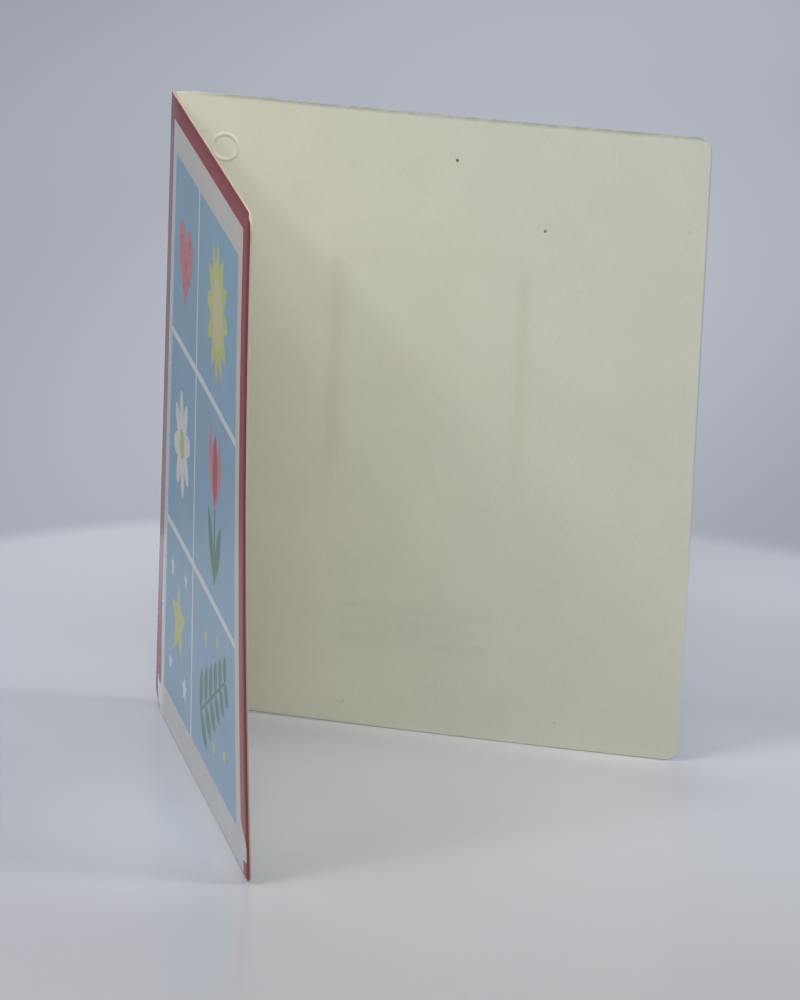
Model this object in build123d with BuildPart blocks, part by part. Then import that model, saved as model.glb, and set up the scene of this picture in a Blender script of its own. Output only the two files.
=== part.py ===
"""Greeting card: one creased sheet of card that stands open on its bottom edges.

Millimetres, +Z up. The origin is the foot of the fold, at the middle of the sheet's
thickness. The back panel runs from the fold along +X, and the front panel swings round
from it towards -Y. The inside of the card is the side where the two panels face.
"""

import os
from math import atan2, degrees, radians, sin, tan

from build123d import *

# Sheet: the size of one panel, which is that of the closed card, and the card stock
panel_width = 120.0
card_height = 140.0
sheet_thickness = 0.45
corner_radius = 3.5

# Fold: the angle between the panels' chords, the crease and the bead pressed up inside it
opening_angle = 65.5
fold_inner_radius = 0.35
crease_bead_height = 0.2

# Back panel: a springy strip stands out beside the fold, and the rest is slightly hollow
spring_length = 24.0
spring_rise = 1.3
back_hollow = 1.1

# Front panel: its free edge leans out towards the top, and bulges at mid-height
front_lean = 4.2
front_curl = 1.0

# Ring pressed up on the inside of the back panel, with its recess on the outside. Its
# rounded profile starts at a root below the face of the sheet, where its width is taken.
ring_diameter = 5.7
ring_width = 1.2
ring_height = 0.2
ring_root = 0.15
ring_from_fold = 11.3
ring_from_top = 11.7

# Heights of the sheet's sections, as shares of the card's height
section_shares = (0.0, 0.5, 1.0)
middle_share = 0.5


def beside(line, gap, end_side):
    """A bent line's handles moved by gap to its left, the last one along end_side."""
    legs = [(end - start).normalized() for start, end in zip(line, line[1:])]
    sides = [leg.rotate(Axis.Z, 90) for leg in legs]
    moved = [line[0] + sides[0] * gap]
    for point, before, after in zip(line[1:-1], sides, sides[1:]):
        moved.append(point + (before + after) * (gap / (1 + before.dot(after))))
    return moved + [line[-1] + end_side * gap]


# The handles of the back panel's outer line, from the fold's corner. Those of the strip
# are in line with the start of the hollow, so the strip bends only beside the fold.
strip_legs = 3
strip_step = spring_length / strip_legs
hollow_middle = (spring_length + panel_width) / 2
hollow_slope = (spring_rise + back_hollow) / (hollow_middle - spring_length)
back_handles = []
for leg in range(1, strip_legs + 1):
    rise = spring_rise + hollow_slope * (spring_length - strip_step * leg)
    back_handles.append(Vector(strip_step * leg, rise))
back_handles.append(Vector(hollow_middle, -back_hollow))
back_handles.append(Vector(panel_width, 0))

# The front panel's chord, and the sides of both chords that are on their left
back_side = Vector(0, 1)
front_chord = Vector(1, 0).rotate(Axis.Z, -opening_angle)
front_side = front_chord.rotate(Axis.Z, 90)

# The line that halves the fold. The fold's outer corner, where the panels' outer lines
# would meet, lies on it, so far out that the origin is in the middle of the sheet.
fold_outer_radius = fold_inner_radius + sheet_thickness
back_start_angle = degrees(atan2(back_handles[0].Y, back_handles[0].X))
half_fold = (opening_angle + back_start_angle) / 2
inwards = Vector(1, 0).rotate(Axis.Z, back_start_angle - half_fold)
corner_reach = fold_outer_radius / sin(radians(half_fold)) - fold_outer_radius
fold_corner = inwards * -(corner_reach + sheet_thickness / 2)


def outer_lines(height_share):
    """The handles of the back and front panels' outer lines, from the fold's bend."""
    lean = front_lean * (height_share - middle_share)
    bulge = front_curl * 4 * height_share * (1 - height_share)
    front_handles = [
        front_chord * (panel_width / 2) - front_side * (lean / 2),
        front_chord * panel_width - front_side * (lean + bulge),
    ]
    back_start = back_handles[0].normalized()
    front_start = front_handles[0].normalized()
    half_bend = radians(back_start.get_angle(front_start) / 2)
    bend_start = fold_outer_radius / tan(half_bend)
    back = [back_start * bend_start] + back_handles
    front = [front_start * bend_start] + front_handles
    return [fold_corner + point for point in back], [fold_corner + point for point in front]


with BuildPart() as folded_card:
    # The sheet's edge at the foot, at mid-height and at the top: out along the back panel,
    # home along its inside, over the bead, and round the front panel to the fold's bend.
    for height_share in section_shares:
        back_outer, front_outer = outer_lines(height_share)
        back_inner = beside(back_outer, -sheet_thickness, back_side)
        front_inner = beside(front_outer, sheet_thickness, front_side)
        strip_outer, hollow_outer = back_outer[: strip_legs + 1], back_outer[strip_legs:]
        strip_inner, hollow_inner = back_inner[: strip_legs + 1], back_inner[strip_legs:]
        bead_top = (back_inner[0] + front_inner[0]) / 2 + inwards * crease_bead_height
        bend_centre = back_outer[0] - back_side.rotate(Axis.Z, back_start_angle) * fold_outer_radius
        bend_top = bend_centre - inwards * fold_outer_radius
        with BuildSketch(Plane.XY.offset(card_height * height_share)):
            with BuildLine():
                Bezier(strip_outer)
                Bezier(hollow_outer)
                Line(hollow_outer[-1], hollow_inner[-1])
                Bezier(hollow_inner)
                Bezier(strip_inner)
                ThreePointArc(strip_inner[0], bead_top, front_inner[0])
                Bezier(front_inner)
                Line(front_inner[-1], front_outer[-1])
                Bezier(front_outer)
                ThreePointArc(front_outer[0], bend_top, strip_outer[0])
            make_face()
    loft()

    # The free corners are rounded at the ends of the sheet, which lie furthest from the fold.
    levels = folded_card.edges().group_by(Axis.Z)
    for level in (levels[0], levels[-1]):
        fillet(level.sort_by_distance((0, 0, 0))[-2:], corner_radius)

    # The ring stands on the line along the inside of the back panel. It is pressed through
    # from the outside, where the same profile is cut, so the sheet keeps its thickness.
    with BuildLine(mode=Mode.PRIVATE) as along_back:
        Bezier(strip_inner)
        Bezier(hollow_inner)
    back_line = along_back.wire()
    ring_share = ring_from_fold / back_line.length
    ring_tangent = back_line.tangent_at(ring_share)
    ring_centre = back_line.position_at(ring_share) + Vector(0, 0, card_height - ring_from_top)
    ring_axis = Axis(ring_centre, ring_tangent.rotate(Axis.Z, -90))
    ring_radius = ring_diameter / 2
    near, far = ring_radius - ring_width / 2, ring_radius + ring_width / 2
    for face_level, effect in ((0, Mode.ADD), (-sheet_thickness, Mode.SUBTRACT)):
        root = face_level - ring_root
        with BuildSketch(Plane(ring_centre, x_dir=(0, 0, 1), z_dir=ring_tangent)):
            with BuildLine():
                ThreePointArc((near, root), (ring_radius, face_level + ring_height), (far, root))
                Line((far, root), (near, root))
            make_face()
        revolve(axis=ring_axis, mode=effect)

folded_card.part.label = "folded_card"
os.makedirs("parts", exist_ok=True)
export_step(folded_card.part, "parts/folded_card.step")
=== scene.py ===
"""The looks of a greeting card that stands open on its bottom edges.

The card is one creased sheet. It is built here as one mesh, from the flat sheet: u runs
along the sheet's outer line, in millimetres, from the fold at 0, below 0 on the front
panel and above 0 on the back panel, and v is the height. The print is drawn on the flat
sheet as fields of colour and simple shapes. Lengths are in millimetres until the mesh.
"""

from math import atan2, cos, pi, radians, sin

import bpy
import numpy as np
from mathutils import Matrix, Vector, noise
from mathutils.geometry import delaunay_2d_cdt


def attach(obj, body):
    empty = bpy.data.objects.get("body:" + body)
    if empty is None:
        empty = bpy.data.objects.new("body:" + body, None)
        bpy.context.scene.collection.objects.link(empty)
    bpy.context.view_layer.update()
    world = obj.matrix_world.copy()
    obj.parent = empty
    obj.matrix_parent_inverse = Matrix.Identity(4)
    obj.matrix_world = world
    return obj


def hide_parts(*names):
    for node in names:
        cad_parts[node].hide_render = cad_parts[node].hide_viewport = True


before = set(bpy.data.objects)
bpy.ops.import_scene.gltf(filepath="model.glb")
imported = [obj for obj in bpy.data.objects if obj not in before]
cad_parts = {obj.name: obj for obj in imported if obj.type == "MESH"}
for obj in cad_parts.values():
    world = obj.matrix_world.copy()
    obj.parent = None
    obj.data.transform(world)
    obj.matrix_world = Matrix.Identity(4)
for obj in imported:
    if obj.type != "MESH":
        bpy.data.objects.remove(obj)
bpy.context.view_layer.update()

MM = 0.001
QUARTER = pi / 2
# Points this close to the end of the outer line count as on it
END_MARGIN = 1e-9

# The sheet, with the same sizes as its solid
PANEL_WIDTH = 120.0
CARD_HEIGHT = 140.0
THICKNESS = 0.45
CORNER_RADIUS = 3.5
OPENING_ANGLE = radians(65.5)
FOLD_INNER_RADIUS = 0.35
CREASE_BEAD_HEIGHT = 0.2
SPRING_LENGTH = 24.0
SPRING_RISE = 1.3
SPRING_LEGS = 3
BACK_HOLLOW = 1.1
FRONT_LEAN = 4.2
FRONT_CURL = 1.0
RING_RADIUS = 2.85
RING_HALF_WIDTH = 0.6
RING_HEIGHT = 0.2
RING_ROOT = 0.15
RING_SOFTNESS = 0.03
RING_PLACE = (12.1, 128.3)

# The cut edge: how far the outer and the inner face are rounded into it
OUTER_ROUND = 0.13
INNER_ROUND = 0.07

# The worn foot of the fold: how far it is pushed in, how high that reaches, and how far
# to each side
WORN_DEPTH, WORN_HEIGHT, WORN_REACH = 1.3, 4.2, 3.6


def turned(vector, angle):
    """A plan vector, or an array of them, turned anticlockwise."""
    x, y = vector[..., 0], vector[..., 1]
    c, s = np.cos(angle), np.sin(angle)
    return np.stack([x * c - y * s, x * s + y * c], -1)


def unit(vectors):
    return vectors / np.linalg.norm(vectors, axis=-1, keepdims=True)


def bezier(handles, t):
    points = [np.broadcast_to(handle, t.shape + (2,)) for handle in handles]
    while len(points) > 1:
        points = [a + (b - a) * t[..., None] for a, b in zip(points, points[1:])]
    return points[0]


# Plan of the sheet's outer line, as in the solid: the back panel's handles, the chord of
# the front panel, and the fold's outer corner, where the panels' outer lines would meet
hollow_middle = (SPRING_LENGTH + PANEL_WIDTH) / 2
hollow_slope = (SPRING_RISE + BACK_HOLLOW) / (hollow_middle - SPRING_LENGTH)
spring_legs = SPRING_LENGTH / SPRING_LEGS * np.arange(1, SPRING_LEGS + 1)
back_handles = [
    np.array([leg, SPRING_RISE + hollow_slope * (SPRING_LENGTH - leg)]) for leg in spring_legs
]
back_handles += [np.array([hollow_middle, -BACK_HOLLOW]), np.array([PANEL_WIDTH, 0.0])]
front_chord = np.array([cos(OPENING_ANGLE), -sin(OPENING_ANGLE)])
front_side = turned(front_chord, QUARTER)
fold_outer_radius = FOLD_INNER_RADIUS + THICKNESS
back_start = unit(back_handles[0])
back_start_angle = atan2(back_start[1], back_start[0])
half_fold = (OPENING_ANGLE + back_start_angle) / 2
inwards = np.array([cos(back_start_angle - half_fold), sin(back_start_angle - half_fold)])
corner_reach = fold_outer_radius / sin(half_fold) - fold_outer_radius
fold_corner = inwards * -(corner_reach + THICKNESS / 2)


def front_lines(height_share):
    """At each height: the handles of the front panel's outer line, the start of the back
    panel's, the centre of the fold's bend, and the direction that the front line starts in."""
    share = height_share[..., None]
    lean = FRONT_LEAN * (share - 0.5)
    bulge = FRONT_CURL * 4 * share * (1 - share)
    middle = front_chord * (PANEL_WIDTH / 2) - front_side * (lean / 2)
    end = front_chord * PANEL_WIDTH - front_side * (lean + bulge)
    start = unit(middle)
    half_bend = np.arccos(start @ back_start) / 2
    reach = (fold_outer_radius / np.tan(half_bend))[..., None]
    centre = unit(start + back_start) * (fold_outer_radius / np.sin(half_bend))[..., None]
    return start * reach, middle, end, back_start * reach, centre, start


def outer_line(q, height_share):
    """A point of the outer line and its outward normal. q is 0 at the front panel's free
    edge, 1 and 2 at the ends of the fold's bend, 3 at the strip's end and 4 at the back
    panel's free edge."""
    front_first, front_middle, front_end, back_first, centre, start = front_lines(height_share)

    def place(at):
        front = bezier([front_first, front_middle, front_end], np.clip(1 - at, 0, 1))
        strip = bezier([back_first, *back_handles[:SPRING_LEGS]], np.clip(at - 2, 0, 1))
        hollow = bezier(back_handles[SPRING_LEGS - 1 :], np.clip(at - 3, 0, 1))
        swing = np.clip(at - 1, 0, 1)
        from_front = np.arctan2(start[..., 1], start[..., 0]) + 1.5 * pi
        angle = from_front + (back_start_angle + QUARTER - from_front) * swing
        bend = centre + fold_outer_radius * np.stack([np.cos(angle), np.sin(angle)], -1)
        which = np.clip(np.floor(at), 0, 3).astype(int)[..., None]
        return np.select([which == 0, which == 1, which == 2], [front, bend, strip], hollow)

    step, last = 1e-4, 4 - END_MARGIN
    ahead = place(np.clip(q + step, 0, last))
    behind = place(np.clip(q - step, 0, last))
    normal = turned(unit(ahead - behind), QUARTER)
    return place(np.clip(q, 0, last)) + fold_corner, normal


# u against q, measured along the outer line at mid-height
table_q = np.unique(np.concatenate([np.linspace(0, 4, 4001), np.linspace(0.98, 2.02, 801)]))
table_points, _ = outer_line(table_q, np.full_like(table_q, 0.5))
table_u = np.concatenate([[0], np.cumsum(np.linalg.norm(np.diff(table_points, axis=0), axis=1))])
table_u -= np.interp(1.5, table_q, table_u)
FRONT_END, BACK_END = table_u[0], table_u[-1]
BEND_HALF = np.interp(2, table_q, table_u)


def ring_bump(u, v):
    """How far the ring is pressed out of the sheet, towards the inside: the part of a
    rounded profile that stands above the sheet, with a softened foot."""
    away = np.hypot(u - RING_PLACE[0], v - RING_PLACE[1]) - RING_RADIUS
    rise = RING_HEIGHT + RING_ROOT
    radius = (RING_HALF_WIDTH**2 + rise**2) / (2 * rise)
    height = np.sqrt(np.maximum(radius**2 - away**2, 0)) - radius + RING_HEIGHT
    return (height + np.sqrt(height**2 + RING_SOFTNESS**2)) / 2


def sheet(u, v, depth):
    """The place in space of points of the flat sheet, depth below the outer face."""
    share = v / CARD_HEIGHT
    q = np.interp(u, table_u, table_q)
    beyond = u - np.clip(u, FRONT_END, BACK_END)
    point, normal = outer_line(q, share)
    point = point - turned(normal, QUARTER) * beyond[..., None]
    # The bead inside the fold
    swing = np.clip(q - 1, 0, 1)[..., None]
    front_first, _, _, back_first, centre, start = front_lines(share)
    front_inner = fold_corner + front_first + turned(start, QUARTER) * THICKNESS
    back_inner = fold_corner + back_first - turned(back_start, QUARTER) * THICKNESS
    rise = inwards * (CREASE_BEAD_HEIGHT * 4) * swing * (1 - swing)
    bead = front_inner + (back_inner - front_inner) * swing + rise
    in_bend = ((q > 1) & (q < 2))[..., None]
    lift = np.where(in_bend, bead - (point - normal * THICKNESS), 0)
    inside = (depth / THICKNESS)[..., None]
    point = point - normal * (depth + ring_bump(u, v))[..., None] + lift * inside
    worn = np.maximum(0, 1 - v / WORN_HEIGHT) ** 2 * np.exp(-((u / WORN_REACH) ** 2))
    point = point + inwards * (WORN_DEPTH * worn)[..., None]
    return np.concatenate([point, v[..., None]], -1)


def slopes(u, v, depth):
    """Unit vectors along u and v, and the outward normal of the sheet."""
    step = 0.01
    along_u = unit(sheet(u + step, v, depth) - sheet(u - step, v, depth))
    along_v = unit(sheet(u, v + step, depth) - sheet(u, v - step, depth))
    return along_u, along_v, unit(np.cross(along_v, along_u))


# Drawing on the flat sheet. A drawing's x is -u, so that it is seen the right way round
# from the outside, and its y is v. Each shape is a colour's name and a closed outline.
def dense(points, step=1.6):
    """A closed outline with no run longer than step."""
    points = np.asarray(points, float)
    found = []
    for a, b in zip(points, np.roll(points, -1, axis=0)):
        count = max(1, int(np.ceil(np.linalg.norm(b - a) / step)))
        found += [a + (b - a) * k / count for k in range(count)]
    return np.array(found)


def box(x0, y0, x1, y1):
    return np.array([(x0, y0), (x1, y0), (x1, y1), (x0, y1)], float)


def polar(centre, radius_at, count=48, turn=0.0):
    angle = np.linspace(0, 2 * pi, count, endpoint=False)
    radius = np.array([radius_at(a) for a in angle])
    out = np.stack([np.cos(angle + turn), np.sin(angle + turn)], -1)
    return np.array(centre) + out * radius[:, None]


def disc(x, y, radius, count=28):
    return polar((x, y), lambda a: radius, count)


def oval(x, y, wide, tall, turn=0.0, count=40):
    points = disc(0, 0, 1, count) * np.array([wide, tall])
    return turned(points, turn) + np.array([x, y])


def leaf(x, y, length, width, turn):
    """A pointed leaf that grows from x, y along turn."""
    share = np.linspace(0, 1, 15)
    side = width / 2 * np.sin(pi * share) ** 0.8
    upper = np.stack([share * length, side], -1)
    lower = np.stack([share * length, -side], -1)[::-1][1:-1]
    return turned(np.concatenate([upper, lower]), turn) + np.array([x, y])


def heart(x, y, size):
    t = np.linspace(0, 2 * pi, 56, endpoint=False)
    wide = 16 * np.sin(t) ** 3
    tall = 13 * np.cos(t) - 5 * np.cos(2 * t) - 2 * np.cos(3 * t) - np.cos(4 * t)
    return np.stack([wide, tall], -1) * (size / 32) + np.array([x, y])


def star(x, y, radius, points=5, depth=0.46, turn=QUARTER):
    angle = turn + np.arange(2 * points) * pi / points
    reach = np.where(np.arange(2 * points) % 2, radius * depth, radius)
    return np.stack([x + np.cos(angle) * reach, y + np.sin(angle) * reach], -1)


def tulip(x, y, size):
    """The cup of a tulip with three points, its foot at x, y."""
    t = np.linspace(0, 1, 13)
    side = 0.5 * np.sin(pi * (0.12 + 0.62 * t)) - 0.18
    side = side / side.max() * 0.5
    right = np.stack([side, t], -1)
    crown = np.array([(0.26, 0.66), (0.0, 0.96), (-0.26, 0.66)])
    left = (right * np.array([-1, 1]))[::-1]
    return np.concatenate([right, crown, left]) * size + np.array([x, y])


FIELD = (11.0, 7.7, 105.0, 128.5)
COLUMN_LINE = (46.8, 48.2)
ROW_LINES = ((45.8, 47.4), (88.6, 90.2))


def cover():
    """The cover's drawing: a red border, a pale mat and a blue field with six panes."""
    shapes = [
        # The border: near the foot of the card its left side narrows to a line along the
        # fold, and its right side to a line along the free edge
        ("red", [
            (-0.35, 0.3), (5.6, 0.3), (6.4, 0.8), (4.6, 2.0), (3.7, 3.0), (3.2, 6.0), (3.1, 7.5),
            (3.5, 7.7), (6.4, 5.8), (7.6, 7.5), (7.8, 9.5), (7.0, 16.0), (6.4, 24.0),
            (6.4, 135.2), (110.6, 135.2), (110.6, 11.8), (111.4, 10.2), (116.2, 7.9),
            (117.0, 6.8), (116.8, 3.7), (112.8, 3.1), (112.4, -1.5), (121.5, -1.5),
            (121.5, 141.5), (-0.35, 141.5),
        ]),
        ("blue", box(*FIELD)),
    ]
    x0, y0, x1, y1 = FIELD
    # Two columns and three rows: the middle of each pane is named by its colour
    left, right = (x0 + COLUMN_LINE[0]) / 2, (COLUMN_LINE[1] + x1) / 2
    low, middle, high = (y0 + ROW_LINES[0][0]) / 2, 68.0, (ROW_LINES[1][1] + y1) / 2
    # Top right: a sun
    shapes.append(("yellow", polar((right, high), lambda a: 12.6 + 2.4 * cos(12 * a), 96)))
    shapes.append(("cream", disc(right, high, 7.4, 36)))
    # Middle right: a tulip with two leaves
    shapes.append(("green", box(right - 0.9, middle - 17, right + 0.9, middle + 2)))
    shapes.append(("green", leaf(right, middle - 16.5, 17, 5.2, radians(58))))
    shapes.append(("green", leaf(right, middle - 16.5, 17, 5.2, radians(122))))
    shapes.append(("pink", tulip(right, middle - 1, 18)))
    shapes.append(("rose", leaf(right, middle + 0.2, 15, 6.5, QUARTER)))
    # Bottom right: a sprig
    sprig = [(right - 17 + 6.2 * k, low - 9 + 3.2 * k) for k in range(6)]
    for k, (x, y) in enumerate(sprig):
        for turn in (78, -34):
            shapes.append(("green", leaf(x, y, 10.5 - 0.8 * k, 4.4, radians(turn))))
    stalk = [(x, y + 0.5) for x, y in sprig] + [(x, y - 0.5) for x, y in sprig[::-1]]
    shapes.append(("green", stalk))
    for x, y in ((-11, 9), (5, 13), (14, -9), (0, -12)):
        shapes.append(("yellow", disc(right + x, low + y, 1.5, 18)))
    # Top left: a heart with dots
    shapes.append(("pink", heart(left, high - 0.5, 21)))
    for x, y in ((-5.6, 3.2), (5.2, 4.0), (0.2, -1.6), (-2.2, -6.6), (4.0, -4.4)):
        shapes.append(("rose", disc(left + x, high + y, 1.0, 16)))
    # Middle left: a daisy
    for k in range(8):
        turn = k * pi / 4 + 0.2
        x, y = left + 6.6 * cos(turn), middle + 6.6 * sin(turn)
        shapes.append(("white", oval(x, y, 5.2, 2.5, turn)))
    shapes.append(("yellow", disc(left, middle, 3.4, 28)))
    # Bottom left: stars
    shapes.append(("yellow", star(left, low + 1, 9.5)))
    for x, y, size in ((-9, 11, 2.8), (9.5, -11.5, 3.2), (-9.5, -11, 2.2), (9, 13, 2.2)):
        shapes.append(("white", star(left + x, low + y, size)))
    # The lines between the panes are drawn over them
    shapes.append(("white", box(COLUMN_LINE[0], y0, COLUMN_LINE[1], y1)))
    for foot, top in ROW_LINES:
        shapes.append(("white", box(x0, foot, x1, top)))
    return shapes


BACK_PICTURE_SCALE = 0.373
BACK_PICTURE_PLACE = np.array([-81.9, 56.6])
# The ornament: the feet of its rules, their half length and thickness, and the row of dots
RULE_FEET, RULE_HALF, RULE_THICKNESS = (27.4, 19.8), 17.5, 0.6
DOT_HEIGHT, DOT_PITCH, DOT_RADIUS, DOT_TAPER, DOTS_A_SIDE = 23.9, 3.3, 1.3, 0.12, 5


def back_cover():
    """The back's drawing: the cover again, small, over an ornament of rules and dots."""
    size = np.array([PANEL_WIDTH, CARD_HEIGHT])
    corner, far_corner = BACK_PICTURE_PLACE, BACK_PICTURE_PLACE + size * BACK_PICTURE_SCALE
    shapes = [("mat", box(*corner, *far_corner))]
    for colour, outline in cover():
        flat = np.clip(np.asarray(outline, float), 0, size)
        shapes.append((colour, flat * BACK_PICTURE_SCALE + corner))
    middle = (corner[0] + far_corner[0]) / 2
    for y in RULE_FEET:
        rule = box(middle - RULE_HALF, y, middle + RULE_HALF, y + RULE_THICKNESS)
        shapes.append(("grey", rule))
    for k in range(-DOTS_A_SIDE, DOTS_A_SIDE + 1):
        radius = DOT_RADIUS - DOT_TAPER * abs(k)
        shapes.append(("grey", disc(middle + DOT_PITCH * k, DOT_HEIGHT, radius, 16)))
    return shapes


drawing = [(colour, dense(outline)) for colour, outline in cover() + back_cover()]
INKS = ["mat", "red", "blue", "white", "yellow", "cream", "green", "pink", "rose", "grey"]


def within(outline, x, y):
    """Which of the points x, y lie in a closed outline."""
    found = np.zeros(x.shape, bool)
    low, high = outline.min(0), outline.max(0)
    near = np.flatnonzero((x > low[0]) & (x < high[0]) & (y > low[1]) & (y < high[1]))
    if not len(near):
        return found
    px, py = x[near], y[near]
    inside = np.zeros(len(near), bool)
    for (x0, y0), (x1, y1) in zip(outline, np.roll(outline, -1, axis=0)):
        if y0 != y1:
            crosses = (y0 > py) != (y1 > py)
            inside ^= crosses & (px < (x1 - x0) * (py - y0) / (y1 - y0) + x0)
    found[near] = inside
    return found


def colour_at(x, y):
    """The number of the colour drawn at each point, 0 for the bare sheet."""
    found = np.zeros(x.shape, int)
    for colour, outline in drawing:
        found[within(outline, x, y)] = INKS.index(colour)
    return found


# The edge of the flat sheet, with small nicks along the back panel's top edge: the place
# along u, the half width and the depth of each
NICKS = [
    (0.0, 1.0, 0.30),
    (20.5, 1.2, 0.10), (24.8, 0.8, 0.22), (28.2, 1.5, 0.20), (31.4, 0.7, 0.12),
    (34.6, 1.6, 0.26), (38.6, 1.3, 0.18), (42.5, 0.9, 0.12), (47.8, 2.0, 0.10),
    (55.0, 1.4, 0.07), (63.2, 1.0, 0.10), (71.5, 1.8, 0.06), (88.0, 1.2, 0.08),
    (101.0, 1.5, 0.05),
]
# The steps between the mesh's points: along the edge, up it, inside the sheet, and in a
# window behind the back's drawing, which is given as its ends along u and v
EDGE_STEP, UPRIGHT_STEP = 0.7, 0.9
COARSE_STEP, FINE_STEP = 1.7, 0.85
FINE_WINDOW = (34.0, 85.0, 17.0, 112.0)
# The fold's own columns of points, those beside it, and how far off the others stay
BEND_COLUMNS, BESIDE_BEND, FOLD_CLEARANCE = 15, 1.25, 1.6
# How far from the ring's middle line its outlines lie, how far the other points stay from
# any outline, and the area under which a triangle is dropped
RING_OUTLINES = (-0.6, -0.49, -0.4, -0.25, -0.08, 0.08, 0.25, 0.4, 0.49, 0.6)
OUTLINE_CLEARANCE = 0.4
SLIVER_AREA = 1e-9


def edge_line():
    """The sheet's edge moved in by the outer rounding, anticlockwise seen with u to the
    right and v up."""
    left, right = FRONT_END + OUTER_ROUND, BACK_END - OUTER_ROUND
    foot, top = OUTER_ROUND, CARD_HEIGHT - OUTER_ROUND
    radius = CORNER_RADIUS - OUTER_ROUND
    bend = np.linspace(-BEND_HALF, BEND_HALF, BEND_COLUMNS)
    runs = []
    for a, b in ((left + radius, bend[0]), (bend[-1], right - radius)):
        runs.append(np.linspace(a, b, int((b - a) / EDGE_STEP) + 1))
    along = np.unique(np.round(np.concatenate([runs[0], bend, runs[1]]), 6))
    upright = np.linspace(foot + radius, top - radius, int((top - foot) / UPRIGHT_STEP))
    turns = np.radians(np.linspace(0, 90, 11))[1:-1]
    nick = np.zeros_like(along)
    for place, half, depth in NICKS:
        nick = np.maximum(nick, depth * np.exp(-(((along - place) / half) ** 4)))
    for k, u in enumerate(along):
        nick[k] *= 0.75 + 0.5 * noise.noise((u * 1.3, 4.2, 0.7))
    corners = []
    for cx, cy, start in (
        (right - radius, foot + radius, -QUARTER),
        (right - radius, top - radius, 0),
        (left + radius, top - radius, QUARTER),
        (left + radius, foot + radius, pi),
    ):
        angles = start + turns
        corners.append([(cx + radius * cos(a), cy + radius * sin(a)) for a in angles])
    points = [(u, foot) for u in along] + corners[0]
    points += [(right, v) for v in upright] + corners[1]
    points += [(u, top - n) for u, n in zip(along[::-1], nick[::-1])] + corners[2]
    points += [(left, v) for v in upright[::-1]] + corners[3]
    return np.array(points)


def grid_points():
    """Points inside the sheet: coarse, with a fine window behind the back's drawing and
    close columns in the fold."""
    u = np.arange(FRONT_END + COARSE_STEP, BACK_END, COARSE_STEP)
    v = np.arange(COARSE_STEP, CARD_HEIGHT, COARSE_STEP)
    u = u[np.abs(u) > FOLD_CLEARANCE]
    far = np.stack(np.meshgrid(u, v), -1).reshape(-1, 2)
    x0, x1, y0, y1 = FINE_WINDOW
    in_window = (far[:, 0] > x0) & (far[:, 0] < x1) & (far[:, 1] > y0) & (far[:, 1] < y1)
    columns, levels = np.arange(x0, x1, FINE_STEP), np.arange(y0, y1, FINE_STEP)
    window = np.stack(np.meshgrid(columns, levels), -1)
    bend = np.linspace(-BEND_HALF, BEND_HALF, BEND_COLUMNS)
    bend = np.concatenate([bend, [-BESIDE_BEND, BESIDE_BEND]])
    fold = np.stack(np.meshgrid(bend, v), -1).reshape(-1, 2)
    return np.concatenate([far[~in_window], window.reshape(-1, 2), fold])


def distance_to(outline, points):
    """The distance from each point to a closed outline, or a large one if it is far."""
    found = np.full(len(points), 1e3)
    low, high = outline.min(0) - 1, outline.max(0) + 1
    near = np.flatnonzero(((points > low) & (points < high)).all(1))
    p = points[near]
    best = np.full(len(near), 1e3)
    for a, b in zip(outline, np.roll(outline, -1, axis=0)):
        run = b - a
        share = np.clip((p - a) @ run / (run @ run + 1e-12), 0, 1)
        best = np.minimum(best, np.linalg.norm(p - a - share[:, None] * run, axis=1))
    found[near] = best
    return found


def triangulated():
    """The flat sheet as points and triangles that keep to the drawing's outlines."""
    edge = edge_line()
    loops = [edge]
    for colour, outline in drawing:
        loops.append(outline * np.array([-1, 1]))
    for away in RING_OUTLINES:
        loops.append(disc(*RING_PLACE, RING_RADIUS + away, 60))
    free = grid_points()
    clear = within(edge, free[:, 0], free[:, 1])
    for loop in loops:
        clear &= distance_to(loop, free) > OUTLINE_CLEARANCE
    points = np.concatenate([*loops, free[clear]])
    pairs, first = [], 0
    for loop in loops:
        index = first + np.arange(len(loop))
        pairs += np.stack([index, np.roll(index, -1)], -1).tolist()
        first += len(loop)
    found, _, faces, _, _, _ = delaunay_2d_cdt(
        [Vector(p) for p in points.tolist()], pairs, [], 0, 1e-5, False
    )
    flat = np.array([tuple(p) for p in found])
    triangles = np.array([f for f in faces if len(f) == 3])
    middle = flat[triangles].mean(1)
    triangles = triangles[within(edge, middle[:, 0], middle[:, 1])]
    a, b, c = (flat[triangles[:, k]] for k in range(3))
    area = (b[:, 0] - a[:, 0]) * (c[:, 1] - a[:, 1]) - (b[:, 1] - a[:, 1]) * (c[:, 0] - a[:, 0])
    sound = np.abs(area) > SLIVER_AREA
    triangles, area = triangles[sound], area[sound]
    triangles[area < 0] = triangles[area < 0][:, ::-1]
    used, triangles = np.unique(triangles, return_inverse=True)
    return flat[used], triangles.reshape(-1, 3)


def rim_of(triangles):
    """The edge's points in order, anticlockwise, and the triangle inside each run."""
    runs = np.concatenate([triangles[:, [0, 1]], triangles[:, [1, 2]], triangles[:, [2, 0]]])
    owner = np.tile(np.arange(len(triangles)), 3)
    known = {(a, b): k for (a, b), k in zip(runs.tolist(), owner.tolist())}
    after = {a: (b, k) for (a, b), k in known.items() if (b, a) not in known}
    start = min(after)
    order, owners = [start], []
    while True:
        b, k = after[order[-1]]
        owners.append(k)
        if b == start:
            return np.array(order), np.array(owners)
        order.append(b)


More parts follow.
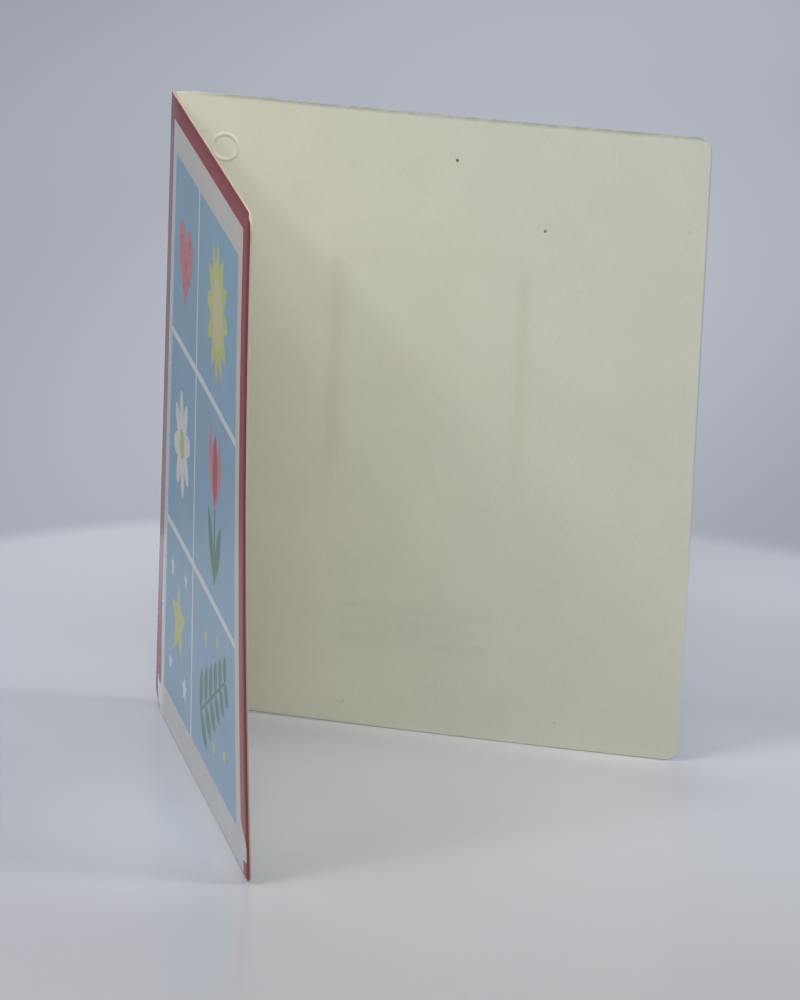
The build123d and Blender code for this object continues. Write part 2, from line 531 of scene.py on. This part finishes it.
INK_COLOURS = {
    "mat": (216, 211, 203),
    "red": (163, 90, 92),
    "blue": (156, 187, 207),
    "white": (230, 231, 230),
    "yellow": (207, 212, 146),
    "cream": (220, 214, 172),
    "green": (112, 148, 128),
    "pink": (212, 150, 152),
    "rose": (188, 108, 118),
    "grey": (132, 136, 142),
}
# How strongly each colour shows through the sheet, and how far it spreads on the way
INK_WEIGHTS = {"red": 1.0, "blue": 0.35, "grey": 2.6}
OTHER_WEIGHT = 0.5
INK_SPREAD = 0.9
# Tints that multiply a colour
WHITE = (1, 1, 1, 1)
IVORY_COOL_LIGHT = (0.974, 1.004, 1.004, 1)
INK_SHADE = (0.82, 0.82, 0.84, 1)
INK_DEEPER = 0.955
# Colours of the ivory inside
IVORY_DEEP, IVORY_PALE = (212.5, 210, 192), (215, 212, 194.5)
IVORY_FIBRE, SPECK = (199.5, 196, 178.5), (52, 50, 44)
MARGIN, MARGIN_RIM, HANDLED = (208, 209, 207), (150, 153, 146), (142, 145, 138)
# Colours on the outer face: painted shade, a darker foot, a chip, painted reflection, pale
# paper with painted sheen, and crease wear
RED_EDGE_SHADE, RED_DARK_FOOT, CHIPPED = (112, 40, 42), (92, 62, 70), (224, 208, 198)
MAT_FOOT_REFLECTION, PALE_AND_SHEEN, RUBBED = (210, 218, 221), (236, 237, 244), (198, 186, 184)
# Colours of the cut edge: the back panel's top and free side, then the front panel's
BACK_TOP, BACK_SIDE_LOW, BACK_SIDE_HIGH = (152, 152, 144), (172, 173, 164), (142, 144, 138)
FRONT_TOP, FRONT_SIDE_LOW, FRONT_SIDE_HIGH = (190, 152, 143), (182, 148, 138), (208, 177, 166)
EDGE_FIBRE = (140, 128, 120)
# Where each change of colour starts and is full: heights are along v, the others along u.
# On the inside: the cooler part, which is painted light, the margin and its dark line, and
# the greyed top edge, which starts beside the fold and has a darkest place
COOL_LIGHT_REACH = (15.0, 90.0)
MARGIN_REACH = (BACK_END - 0.75, BACK_END - 0.4)
RIM_REACH = (BACK_END - 0.35, BACK_END - 0.15)
BACK_SIDE_HEIGHTS = (35.0, 80.0)
HANDLED_HEIGHTS = (CARD_HEIGHT - 1.2, CARD_HEIGHT - 0.1)
HANDLED_START, HANDLED_DARKEST = (2.0, 14.0), 30.0
# On the outer face: the red's dark side and top, which are painted shade, its darker foot by
# the fold, the mat's foot with its painted reflection, and the part beside the fold and over
# the back, which is paler with painted sheen, and glossy
RED_SIDE_REACH = (FRONT_END + 1.6, FRONT_END + 5.0)
RED_TOP_HEIGHTS = (CARD_HEIGHT - 3.0, CARD_HEIGHT - 0.4)
DARK_FOOT_HEIGHTS, DARK_FOOT_REACH = (4.0, 8.0), (-10.0, -8.0)
MAT_REFLECTION_HEIGHTS = (2.0, 9.0)
PALE_AND_SHEEN_REACH = (-14.0, -5.0)
SHEEN_FROM, SHEEN_LESS, SHEEN_LEAST = (12.0, 50.0), (65.0, 80.0), (129.0, 136.0)
GLOSSY_HEIGHTS = (10.0, 45.0)
DULL_REACH = (FRONT_END + 1.5, FRONT_END + 5.0)
# On the cut edge: the two free sides, and the change at the fold
BACK_SIDE_REACH = (BACK_END - 6.0, BACK_END - 1.0)
FRONT_SIDE_REACH, FRONT_SIDE_HEIGHTS = (-118.0, -100.0), (45.0, 95.0)
FOLD_REACH = (-2.0, 2.0)
# Where the front panel's top corner is chipped to bare paper, and how far round
CHIP_PLACE = (FRONT_END + 1.5, 139.2, 0)
CHIP_REACH = (0.55, 1.0)


def linear(colour):
    """A colour of 0 to 255 steps as linear light."""
    c = np.asarray(colour, float) / 255
    return np.where(c <= 0.04045, c / 12.92, ((c + 0.055) / 1.055) ** 2.4)


def show_through(u, v):
    """The share of each colour of light that the print takes away on the far side of the
    sheet, at points of the inner face, blurred by the sheet's thickness."""
    step = 0.4
    xs = np.arange(-PANEL_WIDTH - 2, PANEL_WIDTH + 2, step)
    ys = np.arange(-2, CARD_HEIGHT + 2, step)
    x, y = np.meshgrid(xs, ys)
    drawn = colour_at(x.ravel(), y.ravel()).reshape(x.shape)
    bare = linear(INK_COLOURS["mat"])
    takes = []
    for ink in INKS:
        taken = np.clip(1 - linear(INK_COLOURS[ink]) / bare, -0.1, 1)
        takes.append(taken * INK_WEIGHTS.get(ink, OTHER_WEIGHT))
    # Weaker towards the back's free edge and along the top of the small picture
    weaker = 1 - 0.4 * np.clip((-x - 45) / 30, 0, 1)
    weaker *= 1 - 0.5 * np.clip((y - 105) / 2, 0, 1)
    image = np.array(takes)[drawn] * weaker[..., None]
    half = 6
    reach = np.arange(-half, half + 1) * step
    kernel = np.exp(-((reach / INK_SPREAD) ** 2) / 2)
    kernel /= kernel.sum()
    for axis in (0, 1):
        image = sum(k * np.roll(image, n - half, axis) for n, k in enumerate(kernel))
    column = np.clip((-u - xs[0]) / step, 0, len(xs) - 1.001)
    row = np.clip((v - ys[0]) / step, 0, len(ys) - 1.001)
    c, r = column.astype(int), row.astype(int)
    fc, fr = (column - c)[:, None], (row - r)[:, None]
    low = image[r, c] * (1 - fc) + image[r, c + 1] * fc
    high = image[r + 1, c] * (1 - fc) + image[r + 1, c + 1] * fc
    return low * (1 - fr) + high * fr


# Materials
def srgb(colour):
    return (*linear(colour).tolist(), 1.0)


class Nodes:
    """A material's node tree, with short ways to add to it."""

    def __init__(self, name):
        self.material = bpy.data.materials.new(name)
        self.material.use_nodes = True
        self.tree = self.material.node_tree
        self.shader = self.tree.nodes["Principled BSDF"]

    def add(self, kind, inputs=(), **settings):
        node = self.tree.nodes.new("ShaderNode" + kind)
        for name, value in settings.items():
            setattr(node, name, value)
        for socket, value in dict(inputs).items():
            self.set(node.inputs[socket], value)
        return node

    def set(self, socket, value):
        if isinstance(value, bpy.types.NodeSocket):
            self.tree.links.new(value, socket)
        else:
            socket.default_value = value

    def math(self, operation, a, b=0.0):
        return self.add("Math", {0: a, 1: b}, operation=operation).outputs[0]

    def times(self, first, *others):
        for other in others:
            first = self.math("MULTIPLY", first, other)
        return first

    def distance(self, place, point):
        inputs = {0: place, 1: point}
        return self.add("VectorMath", inputs, operation="DISTANCE").outputs["Value"]

    def ramp(self, value, low, high, to_low=0.0, to_high=1.0):
        inputs = {0: value, 1: low, 2: high, 3: to_low, 4: to_high}
        node = self.add("MapRange", inputs, interpolation_type="SMOOTHSTEP")
        return node.outputs[0]

    def mix(self, share, a, b, blend="MIX"):
        node = self.add("Mix", {0: share, 6: a, 7: b}, data_type="RGBA", blend_type=blend)
        return node.outputs[2]

    def grain(self, scale, detail=3.0, roughness=0.55, stretch=(1, 1, 1)):
        """Noise in the card's own space, with scale cells to a metre."""
        place = self.add("TexCoord").outputs["Object"]
        if stretch != (1, 1, 1):
            place = self.add("Mapping", {"Vector": place, "Scale": stretch}).outputs[0]
        inputs = {"Vector": place, "Scale": scale, "Detail": detail, "Roughness": roughness}
        return self.add("TexNoise", inputs).outputs["Fac"]

    def flat_place(self):
        """u and v of the flat sheet, in millimetres."""
        uv = self.add("UVMap", uv_map=FLAT_MAP).outputs[0]
        parts = self.add("SeparateXYZ", {0: uv})
        u = self.math("SUBTRACT", self.times(parts.outputs[0], FLAT_MAP_SIZE), PANEL_WIDTH)
        return u, self.times(parts.outputs[1], FLAT_MAP_SIZE)

    def bump(self, height, strength, distance, under=None):
        inputs = {"Height": height, "Strength": strength, "Distance": distance}
        if under is not None:
            inputs["Normal"] = under
        return self.add("Bump", inputs).outputs[0]


FLAT_MAP = "flat_sheet"
FLAT_MAP_SIZE = 2 * PANEL_WIDTH
SHOW_THROUGH = "show_through"
SHOW_THROUGH_SHARE = 0.095
# Specks on the inside: where each is along u and v, its radius and its strength
SPECKS = [
    (64.5, 130.3, 0.48, 0.8), (84.6, 116.5, 0.40, 0.8), (116.0, 119.0, 0.4, 0.16),
    (43.4, 5.0, 0.35, 0.22), (91.8, 5.7, 0.45, 0.14), (52.6, 127.2, 0.3, 0.1),
    (88.8, 93.2, 0.3, 0.14), (107.3, 49.0, 0.3, 0.14), (28.8, 119.6, 0.3, 0.12),
    (41.3, 127.4, 0.9, 0.04),
]


def ivory_material():
    """The uncoated ivory inside: fibres, faint cloudiness, specks and show-through."""
    n = Nodes("ivory_inside")
    fibre = n.grain(2600, 4.0, 0.6, (1, 1, 0.45))
    cloud = n.grain(60, 3.0, 0.5)
    colour = n.mix(n.ramp(cloud, 0.35, 0.65), srgb(IVORY_DEEP), srgb(IVORY_PALE))
    colour = n.mix(n.ramp(fibre, 0.3, 0.75, 0.0, 0.28), colour, srgb(IVORY_FIBRE))
    printed = n.add("Attribute", attribute_name=SHOW_THROUGH).outputs["Color"]
    taken = n.mix(SHOW_THROUGH_SHARE, (0, 0, 0, 1), printed)
    kept = n.mix(1.0, WHITE, taken, "SUBTRACT")
    colour = n.mix(1.0, colour, kept, "MULTIPLY")
    u, v = n.flat_place()
    # Painted light: a little cooler towards the back panel's free edge
    cool_light = n.mix(n.ramp(u, *COOL_LIGHT_REACH), WHITE, IVORY_COOL_LIGHT)
    colour = n.mix(1.0, colour, cool_light, "MULTIPLY")
    rough = n.grain(1500, 2.0)
    # A paler margin along the back panel's free edge, with a dark line at its outer side
    margin = n.math("ADD", u, n.times(rough, 0.25))
    colour = n.mix(n.times(n.ramp(margin, *MARGIN_REACH), 0.35), colour, srgb(MARGIN))
    rim = n.times(n.ramp(u, *RIM_REACH), n.ramp(v, *BACK_SIDE_HEIGHTS, 0.0, 0.45))
    colour = n.mix(rim, colour, srgb(MARGIN_RIM))
    # A grey handled top edge
    worn = n.math("SUBTRACT", n.times(rough, 0.5), 0.25)
    top = n.ramp(n.math("ADD", v, worn), *HANDLED_HEIGHTS)
    back = n.ramp(u, *HANDLED_START)
    from_mark = n.math("ABSOLUTE", n.math("SUBTRACT", u, HANDLED_DARKEST))
    patchy = n.ramp(n.grain(260, 3.0, 0.6), 0.38, 0.62, 0.35, 0.65)
    patchy = n.math("ADD", patchy, n.ramp(from_mark, 3.0, 8.0, 0.2, 0.0))
    colour = n.mix(n.times(top, back, patchy), colour, srgb(HANDLED))
    # Specks
    place = n.add("CombineXYZ", {0: u, 1: v}).outputs[0]
    wobble = n.times(n.math("SUBTRACT", n.grain(2200, 2.0), 0.5), 0.5)
    for x, y, size, strength in SPECKS:
        away = n.math("ADD", n.distance(place, (x, y, 0)), wobble)
        mark = n.ramp(away, size * 0.35, size * 1.15, strength, 0.0)
        colour = n.mix(mark, colour, srgb(SPECK))
    n.set(n.shader.inputs["Base Color"], colour)
    n.set(n.shader.inputs["Roughness"], n.ramp(fibre, 0.2, 0.8, 0.78, 0.9))
    n.shader.inputs["Specular IOR Level"].default_value = 0.3
    soft = n.bump(cloud, 0.2, 0.00025)
    n.set(n.shader.inputs["Normal"], n.bump(fibre, 0.3, 0.00002, soft))
    return n.material


def ink_material(ink):
    """A colour printed on the smooth outer face, or its bare coated paper."""
    n = Nodes("print_" + ink)
    colour = srgb(INK_COLOURS[ink])
    cloud = n.grain(90, 3.0, 0.55)
    fine = n.grain(2400, 3.0, 0.6)
    shade = n.mix(n.ramp(fine, 0.25, 0.8, 0.0, 0.16), WHITE, INK_SHADE)
    deeper = srgb(np.array(INK_COLOURS[ink]) * INK_DEEPER)
    tone = n.mix(n.ramp(cloud, 0.3, 0.7, 0.0, 0.3), colour, deeper)
    tone = n.mix(1.0, tone, shade, "MULTIPLY")
    u, v = n.flat_place()
    if ink == "red":
        # Painted shade: darker towards the front panel's free edge and its top edge
        edge = n.ramp(u, *RED_SIDE_REACH, 0.8, 0.0)
        rim = n.ramp(v, *RED_TOP_HEIGHTS, 0.0, 0.4)
        tone = n.mix(n.math("MAXIMUM", edge, rim), tone, srgb(RED_EDGE_SHADE))
        # Darker on the worn foot of the fold
        dark_foot = n.times(n.ramp(v, *DARK_FOOT_HEIGHTS, 0.55, 0.0), n.ramp(u, *DARK_FOOT_REACH))
        tone = n.mix(dark_foot, tone, srgb(RED_DARK_FOOT))
        # Bare paper where the front panel's top corner is chipped
        flat = n.add("CombineXYZ", {0: u, 1: v}).outputs[0]
        wobble = n.times(n.math("SUBTRACT", fine, 0.5), 0.8)
        away = n.math("ADD", n.distance(flat, CHIP_PLACE), wobble)
        tone = n.mix(n.ramp(away, *CHIP_REACH, 0.9, 0.0), tone, srgb(CHIPPED))
    # Beside the fold and over the back, the bare paper and the print are mixed towards one pale
    # colour, the print most of all at mid-height: beside the fold it is painted sheen, and over
    # the back it is also the back's own paler paper
    if ink == "mat":
        pale_and_sheen_share = 1.0
        # Painted reflection: the mat is paler and bluer at its foot
        tone = n.mix(n.ramp(v, *MAT_REFLECTION_HEIGHTS, 0.4, 0.0), tone, srgb(MAT_FOOT_REFLECTION))
    else:
        pale_and_sheen_share = n.times(
            n.ramp(v, *SHEEN_FROM, 0.02, 0.36),
            n.ramp(v, *SHEEN_LESS, 1.0, 0.78),
            n.ramp(v, *SHEEN_LEAST, 1.0, 0.35),
        )
    pale_and_sheen_share = n.times(pale_and_sheen_share, n.ramp(u, *PALE_AND_SHEEN_REACH))
    tone = n.mix(pale_and_sheen_share, tone, srgb(PALE_AND_SHEEN))
    # The crease: the print is rubbed pale along the fold
    near = n.ramp(n.math("ABSOLUTE", n.math("SUBTRACT", u, 0.12)), 0.12, 0.5, 1.0, 0.0)
    rubbed = n.times(near, n.ramp(n.grain(1100, 4.0, 0.7), 0.45, 0.7, 0.15, 0.85), 0.55)
    tone = n.mix(rubbed, tone, srgb(RUBBED))
    n.set(n.shader.inputs["Base Color"], tone)
    # The outer face is glossier beside the fold and over the back, and duller where the
    # front panel's free edge is handled
    gloss = n.times(n.ramp(u, *PALE_AND_SHEEN_REACH), n.ramp(v, *GLOSSY_HEIGHTS, 0.1, 0.24))
    rough = n.math("SUBTRACT", n.ramp(fine, 0.2, 0.8, 0.34, 0.46), gloss)
    dull = n.ramp(u, *DULL_REACH, 0.4, 0.0)
    n.set(n.shader.inputs["Roughness"], n.math("ADD", rough, dull))
    n.shader.inputs["Specular IOR Level"].default_value = 0.45
    soft = n.bump(cloud, 0.3, 0.0002)
    n.set(n.shader.inputs["Normal"], n.bump(fine, 0.12, 0.00001, soft))
    return n.material


def edge_material():
    """The cut edge: pale fibres, tinted by the red print on the front panel and greyed by
    handling on the back panel."""
    n = Nodes("cut_edge")
    u, v = n.flat_place()
    fibre = n.grain(3800, 4.0, 0.65)
    # The back panel's free side is darkest in its upper half, and the front panel's is
    # palest there
    side = n.mix(n.ramp(v, *BACK_SIDE_HEIGHTS), srgb(BACK_SIDE_LOW), srgb(BACK_SIDE_HIGH))
    back = n.mix(n.ramp(u, *BACK_SIDE_REACH), srgb(BACK_TOP), side)
    side = n.mix(n.ramp(v, *FRONT_SIDE_HEIGHTS), srgb(FRONT_SIDE_LOW), srgb(FRONT_SIDE_HIGH))
    front = n.mix(n.ramp(u, *FRONT_SIDE_REACH), side, srgb(FRONT_TOP))
    pale = n.mix(n.ramp(u, *FOLD_REACH), front, back)
    colour = n.mix(n.ramp(fibre, 0.3, 0.75, 0.0, 0.4), pale, srgb(EDGE_FIBRE))
    n.set(n.shader.inputs["Base Color"], colour)
    n.shader.inputs["Roughness"].default_value = 0.88
    n.shader.inputs["Specular IOR Level"].default_value = 0.25
    n.set(n.shader.inputs["Normal"], n.bump(fibre, 0.5, 0.00004))
    return n.material


# Of the strips across the cut edge, counted from the outer face: how many are printed as
# the face beside them is, and after how many the inside begins
PRINTED_STRIPS, CUT_STRIPS = 2, 5


def make_card():
    flat, triangles = triangulated()
    rim, owners = rim_of(triangles)
    count = len(flat)
    middle = flat[triangles].mean(1)
    ink = colour_at(-middle[:, 0], middle[:, 1])
    # Outward direction in the flat sheet at each point of the rim
    run = np.roll(flat[rim], -1, axis=0) - flat[rim]
    side = unit(np.stack([run[:, 1], -run[:, 0]], -1))
    out = unit(side + np.roll(side, 1, axis=0))
    # Rows across the cut edge, from the outer face to the inner face: inset, depth, and
    # the angle that the surface has turned through
    rows = []
    for angle in (30, 60, 90):
        turn = radians(angle)
        rows.append((OUTER_ROUND * (1 - sin(turn)), OUTER_ROUND * (1 - cos(turn)), turn))
    rows.append((0.0, (OUTER_ROUND + THICKNESS - INNER_ROUND) / 2, QUARTER))
    for angle in (90, 120, 150):
        turn = radians(angle)
        depth = THICKNESS - INNER_ROUND * (1 + cos(turn))
        rows.append((INNER_ROUND * (1 - sin(turn)), depth, turn))
    places, normals, maps = [], [], []

    def add(points, depth, turn=None, outward=None):
        u, v = points[:, 0], points[:, 1]
        depth = np.full(len(points), depth)
        along_u, along_v, normal = slopes(u, v, depth)
        if turn is not None:
            lead = unit(along_u * outward[:, :1] + along_v * outward[:, 1:])
            normal = unit(normal * cos(turn) + lead * sin(turn))
        places.append(sheet(u, v, depth))
        normals.append(normal)
        maps.append(points)

    add(flat, 0.0)
    inner = flat.copy()
    inner[rim] += out * (OUTER_ROUND - INNER_ROUND)
    add(inner, THICKNESS)
    normals[1] = -normals[1]
    for inset, depth, turn in rows:
        add(flat[rim] + out * (OUTER_ROUND - inset), depth, turn, out)
    # Faces: the outer face, the inner face, then the strips between the rows
    ivory, edge = len(INKS), len(INKS) + 1
    faces = [tuple(t) for t in triangles[:, ::-1].tolist()]
    paints = ink.tolist()
    faces += [tuple(t) for t in (triangles + count).tolist()]
    paints += [ivory] * len(triangles)
    lines = [rim] + [2 * count + k * len(rim) + np.arange(len(rim)) for k in range(len(rows))]
    lines.append(count + rim)
    for k, (a, b) in enumerate(zip(lines, lines[1:])):
        corners = np.stack([a, np.roll(a, -1), np.roll(b, -1), b], -1)
        faces += [tuple(f) for f in corners.tolist()]
        if k < PRINTED_STRIPS:
            paints += ink[owners].tolist()
        else:
            paints += [edge if k < CUT_STRIPS else ivory] * len(rim)
    places, normals, maps = (np.concatenate(x) for x in (places, normals, maps))
    mesh = bpy.data.meshes.new("card_sheet")
    mesh.from_pydata((places * MM).tolist(), [], faces)
    for name in INKS:
        mesh.materials.append(ink_material(name))
    mesh.materials.append(ivory_material())
    mesh.materials.append(edge_material())
    mesh.polygons.foreach_set("material_index", paints)
    mesh.polygons.foreach_set("use_smooth", [True] * len(faces))
    corner = np.zeros(len(mesh.loops), int)
    mesh.loops.foreach_get("vertex_index", corner)
    layer = mesh.uv_layers.new(name=FLAT_MAP)
    uv = (maps[corner] + np.array([PANEL_WIDTH, 0])) / FLAT_MAP_SIZE
    layer.uv.foreach_set("vector", uv.astype(np.float32).ravel())
    taken = np.ones((len(places), 4), np.float32)
    taken[:, :3] = np.clip(show_through(maps[:, 0], maps[:, 1]), 0, 1)
    tint = mesh.attributes.new(SHOW_THROUGH, "FLOAT_COLOR", "POINT")
    tint.data.foreach_set("color", taken.ravel())
    mesh.update()
    mesh.normals_split_custom_set_from_vertices(normals.tolist())
    card = bpy.data.objects.new("card_sheet", mesh)
    bpy.context.scene.collection.objects.link(card)
    return card


card = make_card()
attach(card, "root")
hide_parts("folded_card")

# Floor: a pale round table top, and the grey-blue room beyond it
TABLE_CENTRE = (0.069, -0.010, 0.0)
TABLE_RADIUS = 0.188
# Patches of painted light on the table top: where each is, its reach and its colour
LIGHT_PATCHES = [
    ((0.032, -0.075, 0.0), 0.065, (196, 198, 203)),
    ((-0.028, 0.128, 0.0), 0.095, (214, 214, 218)),
    ((0.131, 0.013, 0.0), 0.034, (204, 204, 208)),
    ((0.112, 0.118, 0.0), 0.055, (202, 202, 207)),
]
# The room's colours, and two soft glows in it: where each is, its reach each way, and
# its strength
ROOM_DIM, ROOM_BRIGHT = (155, 159, 170), (182, 186, 197)
ROOM_GLOWS = [
    ((-0.079, 0.743, 0.0), (0.281, 0.751, 1.0), 0.82),
    ((-0.006, 0.309, 0.0), (0.174, 0.465, 1.0), 0.97),
]
# The table top's colours, near and far, with painted shade on the near side, and beside the
# card's foot, with painted light, the floor's beyond it, and half the width of the table's soft
# edge
TABLE_NEAR_SHADED, TABLE_FAR, TABLE_LIT = (175, 174, 178), (193, 194, 200), (222, 223, 225)
ROOM_FLOOR = (170, 174, 184)
TABLE_BLUR = 0.010
# How much of the room's brightness its reflections in the table lack
REFLECTION_LOSS = 0.6
FLOOR_HALF = 3.0
# The gap under the card's cut edge, which rests unevenly
FLOOR_GAP = 0.00012


def floor_material():
    n = Nodes("floor")
    place = n.add("TexCoord").outputs["Object"]
    away = n.distance(place, TABLE_CENTRE)
    beyond = n.ramp(away, TABLE_RADIUS - TABLE_BLUR, TABLE_RADIUS + TABLE_BLUR)
    along, across, _ = n.add("SeparateXYZ", {0: place}).outputs
    # Painted shade: the table top is darker towards the camera
    top = n.mix(n.ramp(across, -0.17, 0.04), srgb(TABLE_NEAR_SHADED), srgb(TABLE_FAR))
    # Painted light: it is palest along the foot of the back panel, inside the card
    rise = n.ramp(across, -0.016, 0.004)
    lit = n.times(
        rise,
        rise,
        n.ramp(across, -0.0005, 0.0, 1.0, 0.0),
        n.ramp(along, 0.004, 0.02),
        n.ramp(along, 0.110, 0.124, 1.0, 0.0),
    )
    top = n.mix(lit, top, srgb(TABLE_LIT))
    # Painted light: paler patches on the table top
    for centre, reach, colour in LIGHT_PATCHES:
        near = n.distance(place, centre)
        top = n.mix(n.ramp(near, 0.0, reach, 1.0, 0.0), top, srgb(colour))
    n.set(n.shader.inputs["Base Color"], n.mix(beyond, top, srgb(ROOM_FLOOR)))
    n.shader.inputs["Roughness"].default_value = 0.19
    n.shader.inputs["Specular IOR Level"].default_value = 0.5
    # The room shows to the camera and, dimmer, in reflections, and doesn't light the card
    path = n.add("LightPath").outputs
    seen = n.math("MAXIMUM", path["Is Camera Ray"], path["Is Glossy Ray"])
    seen = n.math("MAXIMUM", seen, path["Is Transmission Ray"])
    glows = 0.0
    for centre, stretch, strength in ROOM_GLOWS:
        aside = n.add("VectorMath", {0: place, 1: centre}, operation="SUBTRACT").outputs[0]
        aside = n.add("VectorMath", {0: aside, 1: stretch}, operation="DIVIDE").outputs[0]
        reach = n.add("VectorMath", {0: aside}, operation="LENGTH").outputs["Value"]
        glows = n.math("ADD", glows, n.ramp(reach, 0.0, 1.0, strength, 0.0))
    room = n.mix(glows, srgb(ROOM_DIM), srgb(ROOM_BRIGHT))
    strength = n.math("SUBTRACT", 1.0, n.times(path["Is Glossy Ray"], REFLECTION_LOSS))
    glow = n.add("Emission", {"Color": room, "Strength": strength}).outputs[0]
    mixed = n.add("MixShader", {0: n.times(beyond, seen), 1: n.shader.outputs[0], 2: glow})
    output = n.tree.nodes["Material Output"]
    n.tree.links.new(mixed.outputs[0], output.inputs["Surface"])
    return n.material


def make_floor():
    mesh = bpy.data.meshes.new("floor")
    half = FLOOR_HALF
    corners = [(-half, -half, 0), (half, -half, 0), (half, half, 0), (-half, half, 0)]
    mesh.from_pydata(corners, [], [(0, 1, 2, 3)])
    mesh.materials.append(floor_material())
    floor = bpy.data.objects.new("floor", mesh)
    floor.location.z = -FLOOR_GAP
    bpy.context.scene.collection.objects.link(floor)
    return floor


make_floor()

# Light: an even room, and soft lamps above. Each lamp is a place that its light comes
# from, as a direction, its distance, its size and its strength on a surface facing it.
WORLD_COLOUR = (0.92, 1.0, 1.12)
WORLD_STRENGTH = 0.252
ROOM_SEEN = (170, 174, 185)
LAMPS = [
    ("lamp_overhead", (-0.6, 1.0, 6.6), 1.6, 0.35, 0.106),
    ("lamp_right", (2.6, 0.2, 2.0), 1.6, 0.5, 0.306),
    ("lamp_front", (0.6, -1.5, 1.2), 1.8, 1.0, 0.288),
    ("lamp_above", (-0.3, -0.3, 2.5), 0.7, 0.25, 0.150),
    ("lamp_left", (-0.85, -1.0, 1.5), 0.6, 0.10, 0.145),
    ("lamp_near_left", (-0.3, -0.6, 1.0), 0.5, 0.06, 0.092),
    ("lamp_high_left", (-0.6, -0.5, 2.0), 0.5, 0.10, 0.118),
    ("lamp_far_left", (-0.85, -1.0, 1.31), 1.2, 0.05, 0.030),
    ("lamp_low_left", (-0.85, -1.0, 0.89), 1.2, 0.05, 0.028),
]
AIM = Vector((0.04, -0.04, 0.06))


def make_lamp(name, direction, distance, size, strength):
    data = bpy.data.lights.new(name, "AREA")
    data.shape = "DISK"
    data.size = size
    # A disc lamp of this power gives the strength at its distance
    data.energy = strength * pi * pi * distance**2
    lamp = bpy.data.objects.new(name, data)
    towards = Vector(direction).normalized()
    lamp.location = AIM + towards * distance
    lamp.rotation_mode = "QUATERNION"
    lamp.rotation_quaternion = towards.to_track_quat("Z", "Y")
    bpy.context.scene.collection.objects.link(lamp)


for lamp in LAMPS:
    make_lamp(*lamp)


def make_world():
    """An even light on the objects, and the room's colour wherever it is seen."""
    world = bpy.data.worlds.new("room")
    world.use_nodes = True
    tree = world.node_tree
    light = tree.nodes["Background"]
    light.inputs["Color"].default_value = (*WORLD_COLOUR, 1.0)
    light.inputs["Strength"].default_value = WORLD_STRENGTH
    view = tree.nodes.new("ShaderNodeBackground")
    view.inputs["Color"].default_value = srgb(ROOM_SEEN)
    path = tree.nodes.new("ShaderNodeLightPath")
    seen = path.outputs["Is Camera Ray"]
    for ray in ("Is Glossy Ray", "Is Transmission Ray"):
        either = tree.nodes.new("ShaderNodeMath")
        either.operation = "MAXIMUM"
        tree.links.new(seen, either.inputs[0])
        tree.links.new(path.outputs[ray], either.inputs[1])
        seen = either.outputs[0]
    mixed = tree.nodes.new("ShaderNodeMixShader")
    tree.links.new(seen, mixed.inputs[0])
    tree.links.new(light.outputs[0], mixed.inputs[1])
    tree.links.new(view.outputs[0], mixed.inputs[2])
    tree.links.new(mixed.outputs[0], tree.nodes["World Output"].inputs["Surface"])
    bpy.context.scene.world = world


make_world()

# Camera: the photograph's. Its place is in card heights from the fold's corner, its
# angles are in radians, its focal length is a share of the frame's longer side, and its
# nearest and farthest sight are in metres.
EYE = (2.1753, -7.7165, 2.6523)
YAW, PITCH, ROLL = -0.2272, 0.2797, -0.0403
FOCAL_SHARE = 5.239
SENSOR = 36.0
NEAREST, FARTHEST = 0.05, 50.0


def make_camera():
    data = bpy.data.cameras.new("camera")
    data.sensor_width = SENSOR
    data.lens = SENSOR * FOCAL_SHARE
    data.clip_start, data.clip_end = NEAREST, FARTHEST
    forward = Vector((sin(YAW) * cos(PITCH), cos(YAW) * cos(PITCH), -sin(PITCH)))
    level = Vector((cos(YAW), -sin(YAW), 0))
    down = forward.cross(level)
    right = level * cos(ROLL) + down * sin(ROLL)
    up = level * sin(ROLL) - down * cos(ROLL)
    camera = bpy.data.objects.new("camera", data)
    turn = Matrix((right, up, -forward)).transposed().to_4x4()
    place = Vector(EYE) * CARD_HEIGHT + Vector((*fold_corner, 0))
    camera.matrix_world = Matrix.Translation(place * MM) @ turn
    bpy.context.scene.collection.objects.link(camera)
    bpy.context.scene.camera = camera


make_camera()
bpy.context.scene.view_settings.view_transform = "Standard"
